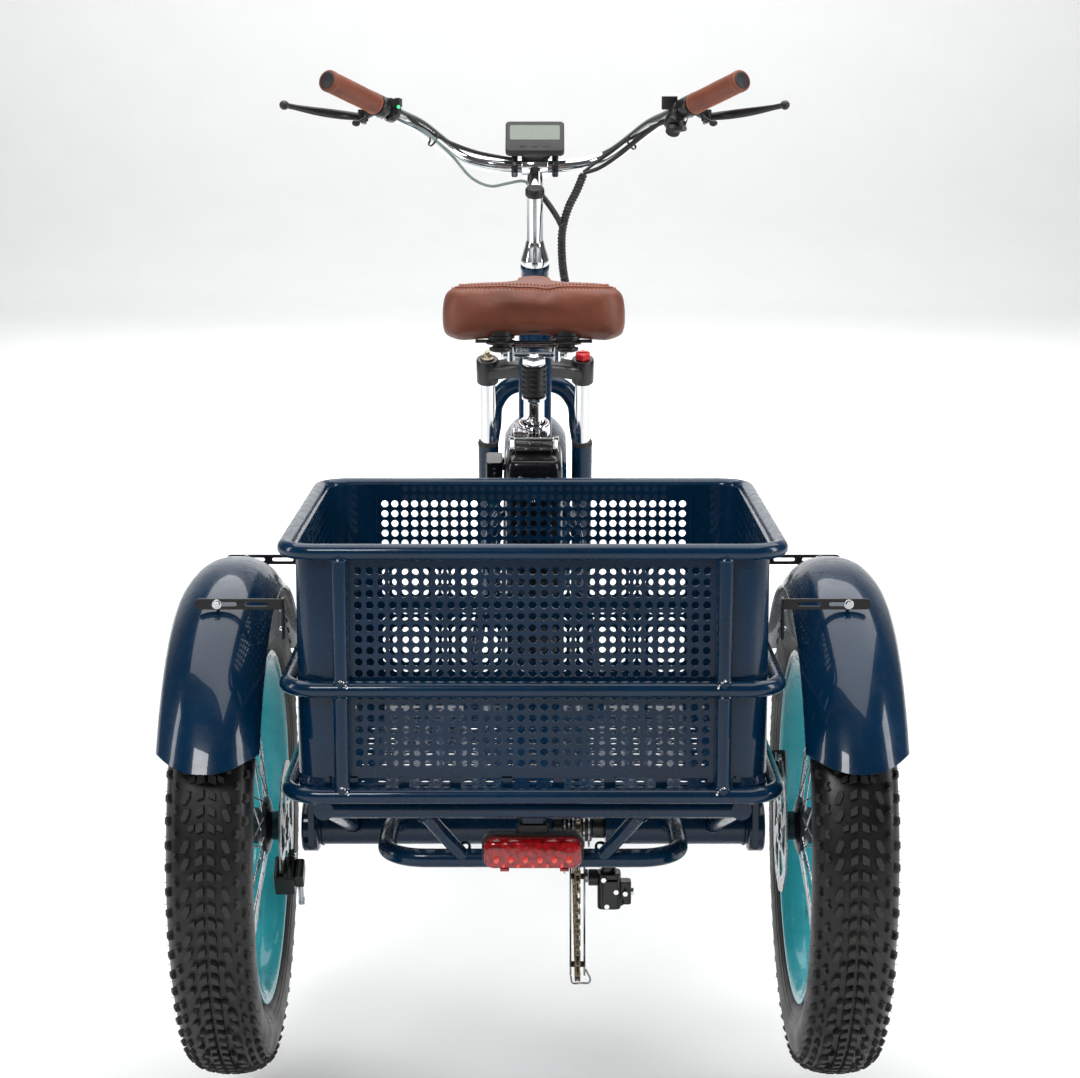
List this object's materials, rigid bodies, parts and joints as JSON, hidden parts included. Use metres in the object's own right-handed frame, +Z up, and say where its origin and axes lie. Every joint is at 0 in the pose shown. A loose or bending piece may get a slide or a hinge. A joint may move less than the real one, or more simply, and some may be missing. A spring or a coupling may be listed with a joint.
{
  "type": "adult tricycle",
  "caption": "Adult cargo tricycle with fat tyres, a perforated rear basket, a sprung fork, disc brakes, a padded saddle and swept-back handlebars.",
  "frame": {"origin": "on the ground, under the middle of the object's box", "axes": "+X to the rider's right, +Y forward along the length, +Z up"},
  "size_m": [0.816, 1.93, 1.1936],
  "materials": {
    "navy_paint": "gloss",
    "rim_paint": "satin",
    "chrome": "polished",
    "tyre_rubber": "moulded",
    "boot_rubber": "satin",
    "leather": "grained",
    "disc_steel": "brushed",
    "chain_brass": "worn",
    "red_plastic": "gloss",
    "black_satin": "satin"
  },
  "bodies": {
    "frame": {"basket_frame": "navy_paint", "basket_tray": "navy_paint", "chain": "chain_brass", "derailleur_body": "black_satin", "derailleur_cage": "disc_steel", "left_caliper": "black_satin", "left_fender_stay_front": "black_satin", "left_fender_stay_rear": "black_satin", "left_rear_fender": "navy_paint", "main_frame": "navy_paint", "rear_subframe": "navy_paint", "right_caliper": "black_satin", "right_fender_stay_front": "black_satin", "right_fender_stay_rear": "black_satin", "right_rear_fender": "navy_paint", "seat_clamp": "chrome", "switch_box": "black_satin", "tail_light_housing": "black_satin", "tail_light_lens": "red_plastic"},
    "left_wheel": {"left_tyre": "tyre_rubber", "left_rim": "rim_paint", "left_hub": "black_satin", "left_rotor": "disc_steel"},
    "right_wheel": {"right_tyre": "tyre_rubber", "right_rim": "rim_paint", "right_hub": "black_satin", "right_rotor": "disc_steel"},
    "front_wheel": {"front_tyre": "tyre_rubber", "front_rim": "rim_paint", "front_hub": "black_satin", "front_rotor": "disc_steel"},
    "steering": {"fork_crown": "black_satin", "stem": "chrome", "handlebar": "chrome", "left_grip": "leather", "right_grip": "leather", "right_brake_perch": "black_satin", "left_brake_perch_and_keypad": "black_satin", "shifter_body": "black_satin", "cable_bundle": "boot_rubber"},
    "fork_slider": {"fork_lowers": "navy_paint", "front_fender": "navy_paint", "front_caliper": "black_satin"},
    "dial": {"lockout_dial": "red_plastic"},
    "screen": {"display": "black_satin"},
    "left_lever": {"left_brake_lever": "black_satin"},
    "right_lever": {"right_brake_lever": "black_satin"},
    "shift_lever": {"thumb_shifter": "black_satin"},
    "cranks": {"crankset": "chrome"},
    "left_pedal_body": {"left_pedal": "black_satin"},
    "right_pedal_body": {"right_pedal": "black_satin"},
    "cogs": {"cassette": "disc_steel"},
    "battery": {"battery_case": "black_satin"},
    "handle": {"battery_handle": "chrome"},
    "clamp_lever": {"seat_clamp_lever": "black_satin"},
    "post": {"seatpost": "chrome"},
    "saddle": {"seatpost_head": "chrome", "seatpost_boot": "boot_rubber", "saddle_base": "black_satin", "saddle_cushion": "leather"}
  },
  "joints": [
    {"name": "left_wheel_spin", "type": "hinge", "parent": "frame", "child": "left_wheel", "pos_m": [-0.352, -0.675, 0.29], "axis": [1, 0, 0], "continuous": true},
    {"name": "right_wheel_spin", "type": "hinge", "parent": "frame", "child": "right_wheel", "pos_m": [0.352, -0.675, 0.29], "axis": [1, 0, 0], "continuous": true},
    {"name": "steer", "type": "hinge", "parent": "frame", "child": "steering", "pos_m": [0, 0.63019, 0.2728], "axis": [0, -0.3584, 0.9336], "range_deg": [-40, 40]},
    {"name": "fork_slide", "type": "slide", "parent": "steering", "child": "fork_slider", "axis": [0, -0.3584, 0.9336], "range_m": [0, 0.05], "stiffness_N_per_m": 9000, "springref_m": -0.035},
    {"name": "front_wheel_spin", "type": "hinge", "parent": "fork_slider", "child": "front_wheel", "pos_m": [0, 0.675, 0.29], "axis": [1, 0, 0], "continuous": true},
    {"name": "dial_turn", "type": "hinge", "parent": "steering", "child": "dial", "pos_m": [0.078, 0.47901, 0.75034], "axis": [0, -0.3584, 0.9336], "range_deg": [0, 90]},
    {"name": "display_tilt", "type": "hinge", "parent": "steering", "child": "screen", "pos_m": [0, 0.40483, 1.04963], "axis": [1, 0, 0], "range_deg": [-20, 12]},
    {"name": "left_brake", "type": "hinge", "parent": "steering", "child": "left_lever", "pos_m": [-0.263, 0.288, 1.125], "axis": [0.1601, 0.2337, 0.959], "range_deg": [0, 18], "stiffness_Nm_per_rad": 3, "springref_deg": -5.73},
    {"name": "right_brake", "type": "hinge", "parent": "steering", "child": "right_lever", "pos_m": [0.263, 0.288, 1.125], "axis": [-0.1601, 0.2337, 0.959], "range_deg": [-18, 0], "stiffness_Nm_per_rad": 3, "springref_deg": 5.73},
    {"name": "shift", "type": "hinge", "parent": "steering", "child": "shift_lever", "pos_m": [0.2105, 0.2762, 1.105], "axis": [0.264, 0.5631, 0.7831], "range_deg": [-25, 0], "stiffness_Nm_per_rad": 0.5, "springref_deg": 5.73},
    {"name": "crank_spin", "type": "hinge", "parent": "frame", "child": "cranks", "pos_m": [0, -0.122, 0.3], "axis": [1, 0, 0], "continuous": true},
    {"name": "left_pedal_spin", "type": "hinge", "parent": "cranks", "child": "left_pedal_body", "pos_m": [-0.142, -0.292, 0.3], "axis": [1, 0, 0], "continuous": true},
    {"name": "right_pedal_spin", "type": "hinge", "parent": "cranks", "child": "right_pedal_body", "pos_m": [0.142, 0.048, 0.3], "axis": [1, 0, 0], "continuous": true},
    {"name": "cassette_spin", "type": "hinge", "parent": "frame", "child": "cogs", "pos_m": [0.053, -0.675, 0.29], "axis": [1, 0, 0], "continuous": true},
    {"name": "battery_slide", "type": "slide", "parent": "frame", "child": "battery", "axis": [0, -0.309, 0.9511], "range_m": [0, 0.03]},
    {"name": "handle_lift", "type": "hinge", "parent": "battery", "child": "handle", "pos_m": [0, -0.30783, 0.70689], "axis": [1, 0, 0], "range_deg": [-85, 0]},
    {"name": "clamp_release", "type": "hinge", "parent": "frame", "child": "clamp_lever", "pos_m": [-0.018, -0.28082, 0.70789], "axis": [1, 0, 0], "range_deg": [0, 60]},
    {"name": "seat_height", "type": "slide", "parent": "frame", "child": "post", "axis": [0, -0.309, 0.9511], "range_m": [0, 0.12]},
    {"name": "seat_suspension", "type": "slide", "parent": "post", "child": "saddle", "axis": [0, -0.309, 0.9511], "range_m": [-0.03, 0], "stiffness_N_per_m": 12000, "springref_m": 0.006, "deforming": ["seatpost_boot"]}
  ],
  "couplings": [
    {"joint": "cassette_spin", "follows": "crank_spin", "ratio": 2.3333}
  ]
}
